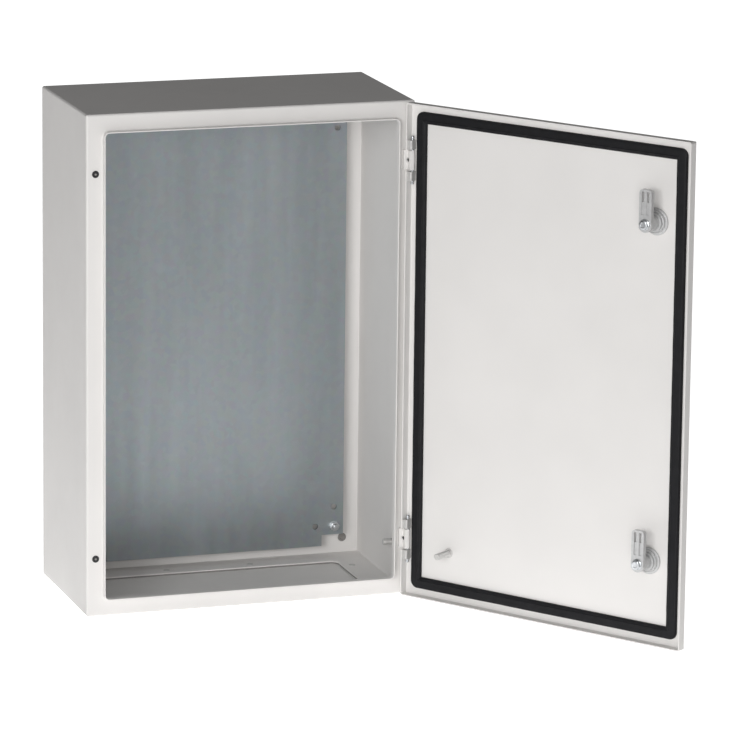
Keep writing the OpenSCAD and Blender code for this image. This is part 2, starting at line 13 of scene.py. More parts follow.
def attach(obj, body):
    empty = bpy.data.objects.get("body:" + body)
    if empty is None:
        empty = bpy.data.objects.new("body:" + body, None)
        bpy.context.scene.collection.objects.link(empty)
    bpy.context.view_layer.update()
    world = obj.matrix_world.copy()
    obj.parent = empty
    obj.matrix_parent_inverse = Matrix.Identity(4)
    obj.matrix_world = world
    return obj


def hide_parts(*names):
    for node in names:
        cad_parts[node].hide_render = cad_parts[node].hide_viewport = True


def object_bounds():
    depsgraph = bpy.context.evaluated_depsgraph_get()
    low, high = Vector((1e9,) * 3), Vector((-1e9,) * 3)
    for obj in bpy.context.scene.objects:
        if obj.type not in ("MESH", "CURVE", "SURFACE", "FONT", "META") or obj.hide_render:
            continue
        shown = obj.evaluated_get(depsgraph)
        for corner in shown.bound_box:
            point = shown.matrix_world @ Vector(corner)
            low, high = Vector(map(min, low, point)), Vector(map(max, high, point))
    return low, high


bl_info = {
    "name": "Steel wall enclosure",
    "version": (1, 0, 0),
    "blender": (4, 5, 0),
    "location": "View3D > Sidebar > Enclosure",
    "description": "Finishes and hardware of a steel wall enclosure",
    "category": "Object",
}

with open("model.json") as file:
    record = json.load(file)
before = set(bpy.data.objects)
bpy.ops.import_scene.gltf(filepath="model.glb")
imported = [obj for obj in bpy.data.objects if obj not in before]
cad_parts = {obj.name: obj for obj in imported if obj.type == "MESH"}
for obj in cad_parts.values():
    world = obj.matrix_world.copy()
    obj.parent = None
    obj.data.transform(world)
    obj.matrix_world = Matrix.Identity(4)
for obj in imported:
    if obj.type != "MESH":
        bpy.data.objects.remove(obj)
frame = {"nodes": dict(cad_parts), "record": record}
CAD_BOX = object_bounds()

MM = 0.001
TURN = 2 * math.pi
SIDES = 48          # segments round a turned part
THREAD_SIDES = 24   # segments round a thread
CREASE = math.radians(32)   # edges that bend more than this stay crisp
AXIS = 0.0001       # radius at which a turned end closes on its axis
# Directions: up, out of the enclosure's mouth, into it and to the left
UP, OUT, IN, LEFT = (0, 0, 1), (0, -1, 0), (0, 1, 0), (-1, 0, 0)

# ---------------- places

SWING = next(j for j in frame["record"]["behaviour"]["joints"] if j["name"] == "door_swing")
DOOR_ANGLE = math.radians(-SWING["range_deg"][0])
PIN = Vector(SWING["pos_m"])
# Takes a place on the closed door to its place at rest, with the door open
OPENED = Matrix.Translation(PIN) @ Matrix.Rotation(DOOR_ANGLE, 4, "Z") @ Matrix.Translation(-PIN)
CLOSED = OPENED.inverted()


def extent(points):
    """Lowest and highest corner of some points."""
    return tuple(Vector([pick(p[i] for p in points) for i in range(3)]) for pick in (min, max))


def corners(node, matrix=Matrix.Identity(4)):
    """Lowest and highest corner of a CAD node after a matrix, such as CLOSED for door parts."""
    return extent([matrix @ v.co for v in frame["nodes"][node].data.vertices])


def islands(node, matrix=Matrix.Identity(4)):
    """Lowest and highest corner of each separate solid in a CAD node."""
    bm = bmesh.new()
    bm.from_mesh(frame["nodes"][node].data)
    bmesh.ops.remove_doubles(bm, verts=bm.verts, dist=1e-6)
    left, found = set(bm.verts), []
    while left:
        todo, group = [left.pop()], []
        while todo:
            vert = todo.pop()
            group.append(matrix @ vert.co)
            for edge in vert.link_edges:
                other = edge.other_vert(vert)
                if other in left:
                    left.remove(other)
                    todo.append(other)
        found.append(extent(group))
    bm.free()
    return sorted(found, key=lambda box: tuple(round(c, 5) for c in box[0]))


def at(x, y, z, direction=UP):
    """Place with local Z turned to a direction and local Y as near to upright as it can be."""
    axis, side = Vector(direction), Vector(UP).cross(direction)
    side = side if side.length else Vector((1, 0, 0))
    turn = Matrix((side, axis.cross(side), axis)).transposed().to_4x4()
    return Matrix.Translation((x, y, z)) @ turn


# ---------------- meshes


def ring(radius, z, sides=SIDES):
    """Points of one ring; radius and z may be functions of the angle."""
    points = []
    for i in range(sides):
        angle = TURN * i / sides
        r = radius(angle) if callable(radius) else radius
        h = z(angle) if callable(z) else z
        points.append(Vector((r * math.cos(angle), r * math.sin(angle), h)))
    return points


def loft(bm, rings, matrix=Matrix.Identity(4), closed=False):
    """Skins rings of equal length with quads. Open lofts are capped, closed ones join up."""
    rows = [[bm.verts.new(matrix @ p) for p in points] for points in rings]
    count = len(rows[0])
    for low, high in zip(rows, rows[1:] + rows[:1] if closed else rows[1:]):
        for i in range(count):
            j = (i + 1) % count
            bm.faces.new((low[i], low[j], high[j], high[i]))
    if not closed:
        bm.faces.new(list(reversed(rows[0])))
        bm.faces.new(rows[-1])
    return bm


def lathe(bm, profile, matrix=Matrix.Identity(4), closed=False, sides=SIDES):
    """Turned solid from (radius, z) points; a closed profile is a ring with a hole."""
    return loft(bm, [ring(r, z, sides) for r, z in profile], matrix, closed)


def rounded(profile, radius, steps=3):
    """Rounds each inner corner of an open (radius, z) profile."""
    points = [Vector(p) for p in profile]
    result = [points[0]]
    for before, corner, after in zip(points, points[1:], points[2:]):
        to_before, to_after = before - corner, after - corner
        cut = min(radius, to_before.length * 0.45, to_after.length * 0.45)
        a = corner + to_before.normalized() * cut
        b = corner + to_after.normalized() * cut
        for k in range(steps + 1):
            t = k / steps
            result.append((1 - t) ** 2 * a + 2 * t * (1 - t) * corner + t * t * b)
    result.append(points[-1])
    return [tuple(p) for p in result]


def thread(radius, pitch, z0, z1):
    """Rings of a helical thread from z0 to z1, tapered in at both ends."""
    cut = 0.6 * pitch
    steps = max(4, int((z1 - z0) / pitch * 5))
    rings = []
    for k in range(steps + 1):
        z = z0 + (z1 - z0) * k / steps
        taper = min(1.0, (z - z0) / pitch, (z1 - z) / pitch)

        def r(angle, z=z, taper=taper):
            phase = (z / pitch - angle / TURN) % 1.0
            groove = 1 - abs(2 * phase - 1)
            return radius - cut * groove * max(taper, 0.25)

        rings.append(ring(r, z, THREAD_SIDES))
    return rings


def hexagon(flats, angle):
    """Distance from the axis of a hexagonal prism to its face at an angle."""
    return flats / 2 / math.cos((angle + math.pi / 6) % (math.pi / 3) - math.pi / 6)


def hex_rings(flats, low, high):
    """Outer rings of a hexagon nut or head, with the curved chamfer of a turned rim."""
    rim = flats / 2 * 0.96
    slope = math.tan(math.radians(30))

    def drop(angle):
        return (hexagon(flats, angle) - rim) * slope

    return [
        ring(rim, low),
        ring(lambda a: hexagon(flats, a), lambda a: low + drop(a)),
        ring(lambda a: hexagon(flats, a), lambda a: high - drop(a)),
        ring(rim, high),
    ]


def prism(bm, outline, low, high, matrix=Matrix.Identity(4)):
    """Prism of an outline of (x, y) points from z low to z high."""
    rings = [[Vector((x, y, z)) for x, y in outline] for z in (low, high)]
    return loft(bm, rings, matrix)


def arc(cx, cy, radius, start, end, steps=8):
    """Points along an arc, in degrees."""
    angles = [math.radians(start + (end - start) * k / steps) for k in range(steps + 1)]
    return [(cx + radius * math.cos(a), cy + radius * math.sin(a)) for a in angles]


def block(bm, low, high, matrix=Matrix.Identity(4)):
    """Block between two corners."""
    outline = [(low[0], low[1]), (high[0], low[1]), (high[0], high[1]), (low[0], high[1])]
    return prism(bm, outline, low[2], high[2], matrix)


def linked(name, data):
    """New object in the scene."""
    obj = bpy.data.objects.new(name, data)
    bpy.context.scene.collection.objects.link(obj)
    return obj


def carve(bm, cutters):
    """Cuts the solids of one bmesh out of another and returns the result."""
    solids = []
    for source in (bm, cutters):
        bmesh.ops.recalc_face_normals(source, faces=source.faces)
        mesh = bpy.data.meshes.new("carve")
        source.to_mesh(mesh)
        source.free()
        solids.append(linked("carve", mesh))
    body, tool = solids
    cut = body.modifiers.new("cut", "BOOLEAN")
    cut.operation, cut.solver, cut.object = "DIFFERENCE", "EXACT", tool
    cut.use_self = True
    graph = bpy.context.evaluated_depsgraph_get()
    result = bmesh.new()
    result.from_mesh(body.evaluated_get(graph).to_mesh())
    for obj in solids:
        mesh = obj.data
        bpy.data.objects.remove(obj)
        bpy.data.meshes.remove(mesh)
    bmesh.ops.remove_doubles(result, verts=result.verts, dist=1e-7)
    if not result.faces:
        raise RuntimeError("a cut left nothing")
    return result


def piece(name, bm, finish, body, node=None, edge=0.0):
    """Makes a piece from a bmesh: finish, body, the CAD node it stands for and round edges."""
    if not bm.faces:
        raise RuntimeError(f"{name} has no faces")
    bmesh.ops.recalc_face_normals(bm, faces=bm.faces)
    mesh = bpy.data.meshes.new(name)
    bm.to_mesh(mesh)
    bm.free()
    mesh.polygons.foreach_set("use_smooth", [True] * len(mesh.polygons))
    mesh.set_sharp_from_angle(angle=CREASE)
    mesh.materials.append(material(finish))
    obj = linked(name, mesh)
    if edge:
        soft = obj.modifiers.new("edge", "BEVEL")
        soft.width, soft.segments = edge, 2
        soft.limit_method, soft.angle_limit = "ANGLE", CREASE
        soft.harden_normals = True
    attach(obj, body)
    if node:
        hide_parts(node)
    return obj


def dress(node, finish):
    """Gives a CAD node that stays in view its finish."""
    obj = frame["nodes"][node]
    obj.data.materials.clear()
    obj.data.materials.append(material(finish))
    for slot in obj.material_slots:
        slot.material = material(finish)


# ---------------- finishes


class Nodes:
    """Adds and links the shader nodes of a new material or of the world."""

    def __init__(self, name, world=None):
        self.owner = world or bpy.data.materials.new(name)
        self.owner.use_nodes = True
        self.tree = self.owner.node_tree
        self.shader = self.tree.nodes["Background" if world else "Principled BSDF"]
        place = self.add("ShaderNodeTexCoord")
        self.place = place.outputs["Generated" if world else "Object"]

    def add(self, kind, **values):
        """Adds a node; values set its properties or its input sockets."""
        node = self.tree.nodes.new(kind)
        for key, value in values.items():
            if hasattr(node, key):
                setattr(node, key, value)
            else:
                node.inputs[key.replace("_", " ")].default_value = value
        return node

    def link(self, output, socket):
        self.tree.links.new(output, socket)

    def put(self, value, socket):
        """Links an output to a socket, or sets the socket to a colour or a number."""
        if isinstance(value, bpy.types.NodeSocket):
            self.link(value, socket)
        else:
            socket.default_value = (*value, 1.0) if hasattr(value, "__len__") else value

    def stretched(self, x, y, z):
        """The place on the part, scaled along each axis."""
        mapping = self.add("ShaderNodeMapping", Scale=(x, y, z))
        self.link(self.place, mapping.inputs["Vector"])
        return mapping.outputs["Vector"]

    def axis(self, name):
        """The place along one axis."""
        split = self.add("ShaderNodeSeparateXYZ")
        self.link(self.place, split.inputs["Vector"])
        return split.outputs[name]

    def seen(self):
        """1 for what is looked at directly, and 0 for the light that it gives off."""
        return self.add("ShaderNodeLightPath").outputs["Is Camera Ray"]

    def noise(self, scale, detail=3.0, where=None, roughness=0.5):
        node = self.add("ShaderNodeTexNoise", Scale=scale, Detail=detail, Roughness=roughness)
        self.link(where or self.place, node.inputs["Vector"])
        return node.outputs["Fac"]

    def cells(self, scale, output="Color"):
        node = self.add("ShaderNodeTexVoronoi", Scale=scale)
        self.link(self.place, node.inputs["Vector"])
        return node.outputs[output]

    def span(self, value, low, high, out_low, out_high, kind="LINEAR"):
        """Maps a value from one range to another."""
        node = self.add("ShaderNodeMapRange", interpolation_type=kind)
        for socket, number in zip(("From Min", "From Max", "To Min", "To Max"),
                                  (low, high, out_low, out_high)):
            node.inputs[socket].default_value = number
        self.link(value, node.inputs["Value"])
        return node.outputs["Result"]

    def patches(self, scale, detail, low, high, share=(0.3, 0.7)):
        """Soft patches that run from a low value to a high one over the middle share of a noise."""
        return self.span(self.noise(scale, detail), *share, low, high)

    def mix(self, share, a, b):
        """Mixes two colours by a share; each is a colour or an output."""
        node = self.add("ShaderNodeMix", data_type="RGBA")
        for socket, value in zip((s for s in node.inputs if s.type == "RGBA"), (a, b)):
            self.put(value, socket)
        self.put(share, node.inputs["Factor"])
        return next(s for s in node.outputs if s.type == "RGBA")

    def math(self, operation, a, b):
        node = self.add("ShaderNodeMath", operation=operation)
        for socket, value in zip(node.inputs, (a, b)):
            self.put(value, socket)
        return node.outputs[0]

    def bump(self, height, distance, after=None):
        node = self.add("ShaderNodeBump", Strength=1.0, Distance=distance)
        self.link(height, node.inputs["Height"])
        if after:
            self.link(after, node.inputs["Normal"])
        return node.outputs["Normal"]

    def set(self, **values):
        """Sets or links sockets of the shader."""
        for key, value in values.items():
            self.put(value, self.shader.inputs[key.replace("_", " ")])
        return self.owner


def shade(color, factor):
    """A colour made lighter or darker."""
    return tuple(min(1.0, c * factor) for c in color[:3])


def powder_coat(name, color, roughness, peel):
    """Textured powder coat: fine orange peel, slight mottling and rougher specks."""
    n = Nodes(name)
    tint = n.mix(n.patches(9.0, 2.0, 0.0, 1.0), shade(color, 0.975), shade(color, 1.02))
    fine = n.noise(1500.0, 2.0)
    tint = n.mix(n.span(fine, 0.35, 0.75, 0.0, 0.12), tint, shade(color, 0.86))
    gloss = n.patches(60.0, 3.0, roughness - 0.05, roughness + 0.05)
    waves = n.bump(n.noise(420.0, 2.0), peel)
    grain = n.bump(fine, peel * 0.6, after=waves)
    return n.set(Base_Color=tint, Roughness=gloss, Normal=grain, Metallic=0.0,
                 Specular_IOR_Level=0.42)


def body_paint(s):
    """Light grey powder coat of the body."""
    return powder_coat("body_powder_coat", s.paint, s.paint_roughness, s.peel)


def door_paint(s):
    """Light grey powder coat of the door."""
    return powder_coat("door_powder_coat", s.paint, s.paint_roughness, s.peel)


def block_paint(s):
    """Powder coat of the small hinge castings, a little glossier."""
    return powder_coat("hinge_block_powder_coat", s.paint, s.paint_roughness - 0.08, s.peel * 0.6)


def zinc_plate(s):
    """Galvanised sheet: soft upright bands, faint spangle and fine bright specks."""
    n = Nodes("galvanised_sheet")
    dark, light = shade(s.galvanised, 0.93), shade(s.galvanised, 1.06)
    bands = n.noise(1.0, 4.0, n.stretched(16.0, 1.0, 0.9), 0.6)
    color = n.mix(n.span(bands, 0.32, 0.68, 0.0, 1.0), dark, light)
    color = n.mix(0.03, color, n.cells(140.0))
    specks = n.patches(900.0, 1.0, 0.0, 0.5, (0.70, 0.78))
    color = n.mix(specks, color, shade(s.galvanised, 1.7))
    stains = n.patches(34.0, 5.0, 0.0, 0.25, (0.62, 0.78))
    color = n.mix(stains, color, shade(s.galvanised, 1.3))
    gloss = n.span(n.noise(1.0, 3.0, n.stretched(40.0, 1.0, 3.0)), 0.3, 0.7,
                   s.plate_roughness - 0.06, s.plate_roughness + 0.08)
    rolled = n.bump(n.noise(1.0, 3.0, n.stretched(700.0, 700.0, 24.0)), 0.00002)
    grain = n.bump(n.noise(700.0, 2.0), 0.00003, after=rolled)
    return n.set(Base_Color=color, Roughness=gloss, Metallic=0.85, Normal=grain)


def metal(name, color, roughness, scale, bump, spread):
    """Metal with uneven gloss, light stains and a fine grain."""
    n = Nodes(name)
    stain = n.patches(scale, 4.0, 0.0, 1.0, (0.35, 0.7))
    tint = n.mix(stain, shade(color, 1.06), shade(color, 0.86))
    gloss = n.patches(scale * 2.5, 3.0, roughness - spread, roughness + spread)
    grain = n.bump(n.noise(scale * 9, 2.0), bump)
    return n.set(Base_Color=tint, Roughness=gloss, Metallic=1.0, Normal=grain)


def zinc_hardware(s):
    """Bright zinc-plated screws, nuts, studs and washers."""
    return metal("zinc_plated_hardware", s.zinc, 0.32, 90.0, 0.00001, 0.06)


def satin(name, color, roughness, metallic):
    """Dull zinc: soft blotches, a greyish bloom and a fine grain."""
    n = Nodes(name)
    bloom = n.patches(210.0, 4.0, 0.0, 1.0, (0.35, 0.7))
    tint = n.mix(bloom, shade(color, 0.93), shade(color, 1.05))
    specks = n.patches(1700.0, 2.0, 0.0, 0.4, (0.66, 0.76))
    tint = n.mix(specks, tint, shade(color, 0.7))
    gloss = n.patches(300.0, 3.0, roughness - 0.06, roughness + 0.06)
    grain = n.bump(n.noise(1300.0, 2.0), 0.00004)
    return n.set(Base_Color=tint, Roughness=gloss, Metallic=metallic, Normal=grain)


def satin_zinc(s):
    """Dull zinc of the welded studs and the pressed nuts."""
    return satin("satin_zinc", s.dull_zinc, 0.5, 0.35)


def zinc_ears(s):
    """Dull zinc of the door's hinge ears."""
    return satin("zinc_ears", shade(s.dull_zinc, 0.92), 0.48, 0.3)


def grey_plastic(s):
    """Grey moulded plugs of the wall-fixing holes, and the gland gasket."""
    n = Nodes("moulded_grey_plug")
    tint = n.mix(n.patches(260.0, 3.0, 0.0, 1.0), s.wall_plug, shade(s.wall_plug, 1.15))
    gloss = n.patches(150.0, 3.0, 0.42, 0.55)
    return n.set(Base_Color=tint, Roughness=gloss, Normal=n.bump(n.noise(1100.0), 0.00004))


def pin_steel(s):
    """Turned steel hinge pins."""
    return metal("turned_pin_steel", shade(s.zinc, 0.95), 0.22, 300.0, 0.00002, 0.05)


def lock_cast(s):
    """Die-cast lock parts with a satin skin."""
    return satin("die_cast_lock", s.lock, 0.38, 0.4)


def foam_gasket(s):
    """Black foamed polyurethane: matt skin with open pores and paler scuffed tops."""
    n = Nodes("foamed_gasket")
    pores = n.cells(1500.0, "Distance")
    scuff = n.patches(180.0, 4.0, 0.0, 0.6, (0.4, 0.75))
    tint = n.mix(scuff, s.foam, shade(s.foam, 1.9))
    skin = n.bump(n.noise(260.0, 3.0), 0.0002)
    foam = n.bump(pores, 0.0001, after=skin)
    gloss = n.patches(90.0, 3.0, 0.5, 0.68)
    return n.set(Base_Color=tint, Roughness=gloss, Metallic=0.0, Normal=foam,
                 Specular_IOR_Level=0.24)


def black_plastic(s):
    """Moulded plastic of the plugs."""
    n = Nodes("moulded_plug_plastic")
    tint = n.mix(n.patches(240.0, 3.0, 0.0, 1.0), s.plug, shade(s.plug, 1.6))
    gloss = n.patches(120.0, 3.0, 0.38, 0.52)
    return n.set(Base_Color=tint, Roughness=gloss, Normal=n.bump(n.noise(900.0), 0.00005))


FINISHES = {make.__name__: make for make in (
    body_paint, door_paint, block_paint, zinc_plate, zinc_hardware, satin_zinc, zinc_ears,
    pin_steel, lock_cast, foam_gasket, black_plastic, grey_plastic)}


@functools.cache
def material(finish):
    """Makes a finish the first time it is asked for and keeps it."""
    return FINISHES[finish](bpy.context.scene.enclosure)


# ---------------- settings


class EnclosureSettings(bpy.types.PropertyGroup):
    """Colours, finishes and small sizes that a user may change."""

    paint: FloatVectorProperty(
        name="Paint", description="Colour of the powder coat", subtype="COLOR",
        default=(0.77, 0.752, 0.735), min=0, max=1)
    paint_roughness: FloatProperty(
        name="Paint roughness", description="Roughness of the powder coat",
        default=0.46, min=0.1, max=0.9)
    peel: FloatProperty(
        name="Orange peel", description="Height of the coat's texture", unit="LENGTH",
        default=0.00005, min=0, max=0.0005)
    galvanised: FloatVectorProperty(
        name="Galvanised sheet", description="Colour of the mounting plate", subtype="COLOR",
        default=(0.345, 0.38, 0.40), min=0, max=1)
    plate_roughness: FloatProperty(
        name="Plate roughness", description="Roughness of the mounting plate",
        default=0.43, min=0.1, max=0.9)
    zinc: FloatVectorProperty(
        name="Zinc", description="Colour of zinc-plated hardware", subtype="COLOR",
        default=(0.70, 0.72, 0.74), min=0, max=1)
    dull_zinc: FloatVectorProperty(
        name="Dull zinc", description="Colour of the welded studs and the hinge ears",
        subtype="COLOR", default=(0.62, 0.61, 0.595), min=0, max=1)
    lock: FloatVectorProperty(
        name="Lock", description="Colour of the die-cast lock parts", subtype="COLOR",
        default=(0.57, 0.57, 0.57), min=0, max=1)
    foam: FloatVectorProperty(
        name="Foam", description="Colour of the gasket", subtype="COLOR",
        default=(0.0065, 0.0065, 0.0078), min=0, max=1)
    plug: FloatVectorProperty(
        name="Plugs", description="Colour of the hinge-hole plugs", subtype="COLOR",
        default=(0.010, 0.010, 0.011), min=0, max=1)
    wall_plug: FloatVectorProperty(
        name="Wall plugs", description="Colour of the wall-hole plugs", subtype="COLOR",
        default=(0.22, 0.21, 0.20), min=0, max=1)
    edge: FloatProperty(
        name="Edge", description="Rounding of the edges of castings", unit="LENGTH",
        default=0.0004, min=0.0001, max=0.001)
    foam_unevenness: FloatProperty(
        name="Foam unevenness", description="Waviness of the poured foam bead", unit="LENGTH",
        default=0.00022, min=0, max=0.001)
    foam_corner: FloatProperty(
        name="Gasket corner", description="Outer radius of the gasket's corners", unit="LENGTH",
        default=0.009, min=0.002, max=0.015)
    foam_steps: IntProperty(
        name="Foam steps", description="Sections along each side of the gasket",
        default=120, min=8, max=400)


class StudioSettings(bpy.types.PropertyGroup):
    """Camera and light."""

    eye: FloatVectorProperty(
        name="Eye", description="Place of the camera", subtype="XYZ", unit="LENGTH",
        default=(-1.7851, -6.0686, 1.4054))
    heading: FloatProperty(
        name="Heading", description="Turn of the camera to the right", subtype="ANGLE",
        default=math.radians(18.25))
    tilt: FloatProperty(
        name="Tilt", description="Tilt of the camera down", subtype="ANGLE",
        default=math.radians(12.88))
    roll: FloatProperty(
        name="Roll", description="Roll of the camera", subtype="ANGLE", default=math.radians(0.66))
    lens: FloatProperty(
        name="Lens", description="Focal length on a 36 mm sensor, in millimetres",
        default=263.1, min=10, max=500)
    shift_x: FloatProperty(name="Shift X", description="Sideways lens shift", default=-0.0082)
    shift_y: FloatProperty(name="Shift Y", description="Upward lens shift", default=-0.0115)
    key_power: FloatProperty(
        name="Key light", description="Power of the main light at the front left",
        unit="POWER", default=58.0, min=0)
    front_power: FloatProperty(
        name="Front light", description="Power of the light in front of the enclosure",
        unit="POWER", default=31.0, min=0)
    horizon: FloatProperty(
        name="Horizon", description="Brightness of the surroundings at eye level",
        default=0.0, min=0)
    ceiling: FloatProperty(
        name="Ceiling", description="Brightness of the surroundings overhead", default=0.18, min=0)
    floor_glow: FloatProperty(
        name="Floor glow", description="Light given off by the backlit floor", default=0.86, min=0)


# ---------------- stage


def area_light(name, place, target, size, power):
    """Square soft light aimed at a point."""
    data = bpy.data.lights.new(name, "AREA")
    data.shape, data.size, data.energy = "SQUARE", size, power
    aim = Vector(target) - Vector(place)
    turn = aim.to_track_quat("-Z", "Y").to_matrix().to_4x4()
    linked(name, data).matrix_world = Matrix.Translation(place) @ turn


class ENCLOSURE_OT_stage(bpy.types.Operator):
    """Sets the camera, the pale floor and the soft light"""

    bl_idname = "enclosure.stage"
    bl_label = "Stage"

    def execute(self, context):
        studio = context.scene.enclosure_studio
        self.camera(context, studio)
        self.floor(studio)
        self.surroundings(context, studio)
        # Place, target and size of each light
        area_light("key_light", (-2.4, -3.2, 0.9), (0.05, -0.2, 0.0), 1.4, studio.key_power)
        area_light("front_light", (-0.9, -3.6, 0.5), (0.05, 0.0, 0.0), 1.6, studio.front_power)
        context.scene.view_settings.view_transform = "Standard"
        return {"FINISHED"}

    def camera(self, context, studio):
        data = bpy.data.cameras.new("camera")
        data.lens, data.sensor_width = studio.lens, 36
        data.shift_x, data.shift_y = studio.shift_x, studio.shift_y
        data.clip_end = 60
        camera = linked("camera", data)
        heading, tilt, roll = studio.heading, studio.tilt, studio.roll
        ahead = Vector((math.sin(heading) * math.cos(tilt), math.cos(heading) * math.cos(tilt),
                        -math.sin(tilt)))
        right = Vector((math.cos(heading), -math.sin(heading), 0))
        up = right.cross(ahead)
        level = Matrix((right, up, -ahead)).transposed()
        turn = Matrix.Rotation(roll, 3, "Z")
        camera.matrix_world = Matrix.Translation(studio.eye) @ (level @ turn).to_4x4()
        context.scene.camera = camera

    def floor(self, studio):
        """Large pale floor that gives off light of its own, just below the lowest part."""
        low = CAD_BOX[0]
        reach, gap = 40.0, 0.0002
        square = ((-1, -1), (1, -1), (1, 1), (-1, 1))
        mesh = bpy.data.meshes.new("studio_floor")
        verts = [(x * reach, y * reach, low[2] - gap) for x, y in square]
        mesh.from_pydata(verts, [], [(0, 1, 2, 3)])
        n = Nodes("pale_floor")
        tint = n.mix(n.patches(0.6, 2.0, 0.0, 1.0), (0.82, 0.82, 0.82), (0.85, 0.85, 0.85))
        # The glow fades out to the left of the enclosure and in front of it
        across = n.span(n.axis("X"), low[0] - 1.1, low[0] - 0.3, 0.2, 1.0)
        along = n.span(n.axis("Y"), low[1] - 0.8, low[1] - 0.05,
                       0.15 * studio.floor_glow, studio.floor_glow)
        # and a painted shade dims it in a narrow band round the foot of the body
        foot = n.add("ShaderNodeVectorMath", operation="DISTANCE")
        n.link(n.stretched(0.3, 1.0, 0.0), foot.inputs[0])
        foot.inputs[1].default_value = (0.0, corners("body_shell")[0].y, 0.0)
        # painted shade: the glow drops to 0.68 of its strength close to the body's foot
        painted_foot_shade = n.span(foot.outputs["Value"], 0.02, 0.14, 0.68, 1.0)
        glow = n.math("MULTIPLY", n.math("MULTIPLY", across, along), painted_foot_shade)
        # Looked at directly, the floor is an even white all over
        mesh.materials.append(n.set(
            Base_Color=tint, Roughness=0.9, Specular_IOR_Level=0.1,
            Emission_Color=(1.0, 1.0, 1.0), Emission_Strength=n.math("MAXIMUM", glow, n.seen())))
        linked("studio_floor", mesh)

    def surroundings(self, context, studio):
        """Weak light from overhead that fades out towards the horizon, looked at as white."""
        world = bpy.data.worlds.new("studio")
        context.scene.world = world
        n = Nodes("studio", world)
        overhead = n.span(n.axis("Z"), 0.0, 0.75, studio.horizon, studio.ceiling, "SMOOTHSTEP")
        n.set(Color=(1.0, 1.0, 1.0), Strength=n.math("MAXIMUM", overhead, n.seen()))


# ---------------- body


class ENCLOSURE_OT_body(bpy.types.Operator):
    """Paints the folded body, its rear panel and the gland plate"""

    bl_idname = "enclosure.body"
    bl_label = "Body"

    def execute(self, context):
        for node in ("body_shell", "rear_panel", "gland_plate"):
            dress(node, "body_paint")
        return {"FINISHED"}


class ENCLOSURE_OT_plugs(bpy.types.Operator):
    """Makes the plugs in the unused hinge holes and in the wall-fixing holes"""

    bl_idname = "enclosure.plugs"
    bl_label = "Plugs"

    def execute(self, context):
        flange_y = corners("hinge_block_upper")[1].y
        for number, (low, high) in enumerate(islands("hinge_hole_plugs")):
            middle = (low + high) / 2
            self.hinge_plug(number, at(middle.x, flange_y, middle.z, OUT), high - low,
                            flange_y - low.y)
        self.wall_plugs()
        return {"FINISHED"}

    def hinge_plug(self, number, place, size, head):
        """Black plug with a dished head on a barbed stem, and a grey dot in its dish as a painted
        highlight.
        """
        r, stem = size.x / 2, size.x * 0.34
        back, dish = head - size.y, head - 0.0005
        profile = rounded([(AXIS, dish), (r * 0.42, dish), (r * 0.5, head), (r * 0.86, head),
                           (r, head * 0.45), (r, 0.0), (stem, 0.0), (stem, back * 0.4),
                           (stem * 1.14, back * 0.5), (stem * 0.7, back), (AXIS, back)], 0.0003)
        piece(f"hinge_hole_plug_{number + 1}", lathe(bmesh.new(), profile, place), "black_plastic",
              "enclosure", "hinge_hole_plugs")
        # grey dot in the dish: a painted highlight on the plug's centre
        painted_highlight_dot = [(AXIS, dish - 0.0002), (r * 0.3, dish - 0.0002), (r * 0.3, head - 0.0002),
                (r * 0.18, head), (AXIS, head)]
        piece(f"hinge_hole_plug_highlight_dot_{number + 1}", lathe(bmesh.new(), painted_highlight_dot, place, sides=24),
              "grey_plastic", "enclosure")

    def wall_plugs(self):
        """Grey push-in plugs, which are taken out to fix the enclosure to a wall."""
        dims = next(m for m in frame["record"]["mounts"] if m["name"] == "wall_fixing")["dims"]
        half_x, half_z = dims["spacing_x_mm"] * MM / 2, dims["spacing_y_mm"] * MM / 2
        r = dims["hole_r_mm"] * MM
        low, high = corners("rear_panel")
        front, back = 0.0012, low.y - high.y + 0.0001
        dish = front - 0.0007
        profile = rounded([(AXIS, dish), (r * 0.62, dish), (r * 0.72, front), (r + 0.0006, front),
                           (r + 0.0012, 0.0), (r - 0.00005, 0.0), (r - 0.0003, back), (AXIS, back)],
                          0.0003)
        for number, (sx, sz) in enumerate(((-1, -1), (1, -1), (-1, 1), (1, 1))):
            place = at(sx * half_x, low.y, sz * half_z, OUT)
            piece(f"wall_hole_plug_{number + 1}", lathe(bmesh.new(), profile, place),
                  "grey_plastic", "enclosure")


